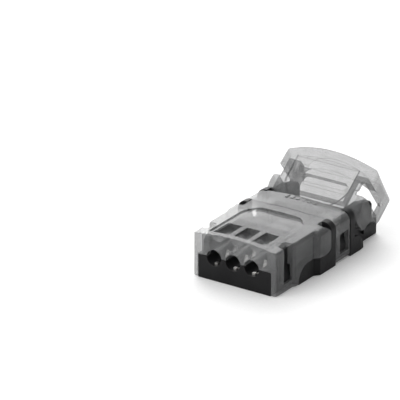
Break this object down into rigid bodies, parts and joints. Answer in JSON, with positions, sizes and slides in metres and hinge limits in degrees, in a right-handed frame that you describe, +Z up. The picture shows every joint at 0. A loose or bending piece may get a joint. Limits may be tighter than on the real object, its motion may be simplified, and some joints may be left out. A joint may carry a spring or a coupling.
{
  "type": "lever wire connector",
  "caption": "Solderless clip connector joining an LED strip to round wires, with a black base, a clear middle cover and a clear hinged lever lid over each end.",
  "frame": {"origin": "centre of the underside of the base", "axes": "+Z up out of the base, +Y towards the strip end, +X across"},
  "size_m": [0.0154, 0.0283, 0.0116],
  "materials": {
    "black_body": "fine moulded satin",
    "smoky_clear": "clear moulded polycarbonate with a faint grey tint",
    "tinned_contact": "tin-plated stamping"
  },
  "bodies": {
    "body": {"base": "black_body", "center_cover": "smoky_clear", "contact_left": "tinned_contact", "contact_middle": "tinned_contact", "contact_right": "tinned_contact"},
    "wire_lever": {"wire_lid": "smoky_clear"},
    "strip_lever": {"strip_lid": "smoky_clear"}
  },
  "joints": [
    {"name": "wire_lid_hinge", "type": "hinge", "parent": "body", "child": "wire_lever", "pos_m": [0, -0.00183, 0.0052], "axis": [-1, 0, 0], "range_deg": [0, 60]},
    {"name": "strip_lid_hinge", "type": "hinge", "parent": "body", "child": "strip_lever", "pos_m": [0, 0.0067, 0.0054], "axis": [1, 0, 0], "range_deg": [-37.5, 22.5]}
  ]
}
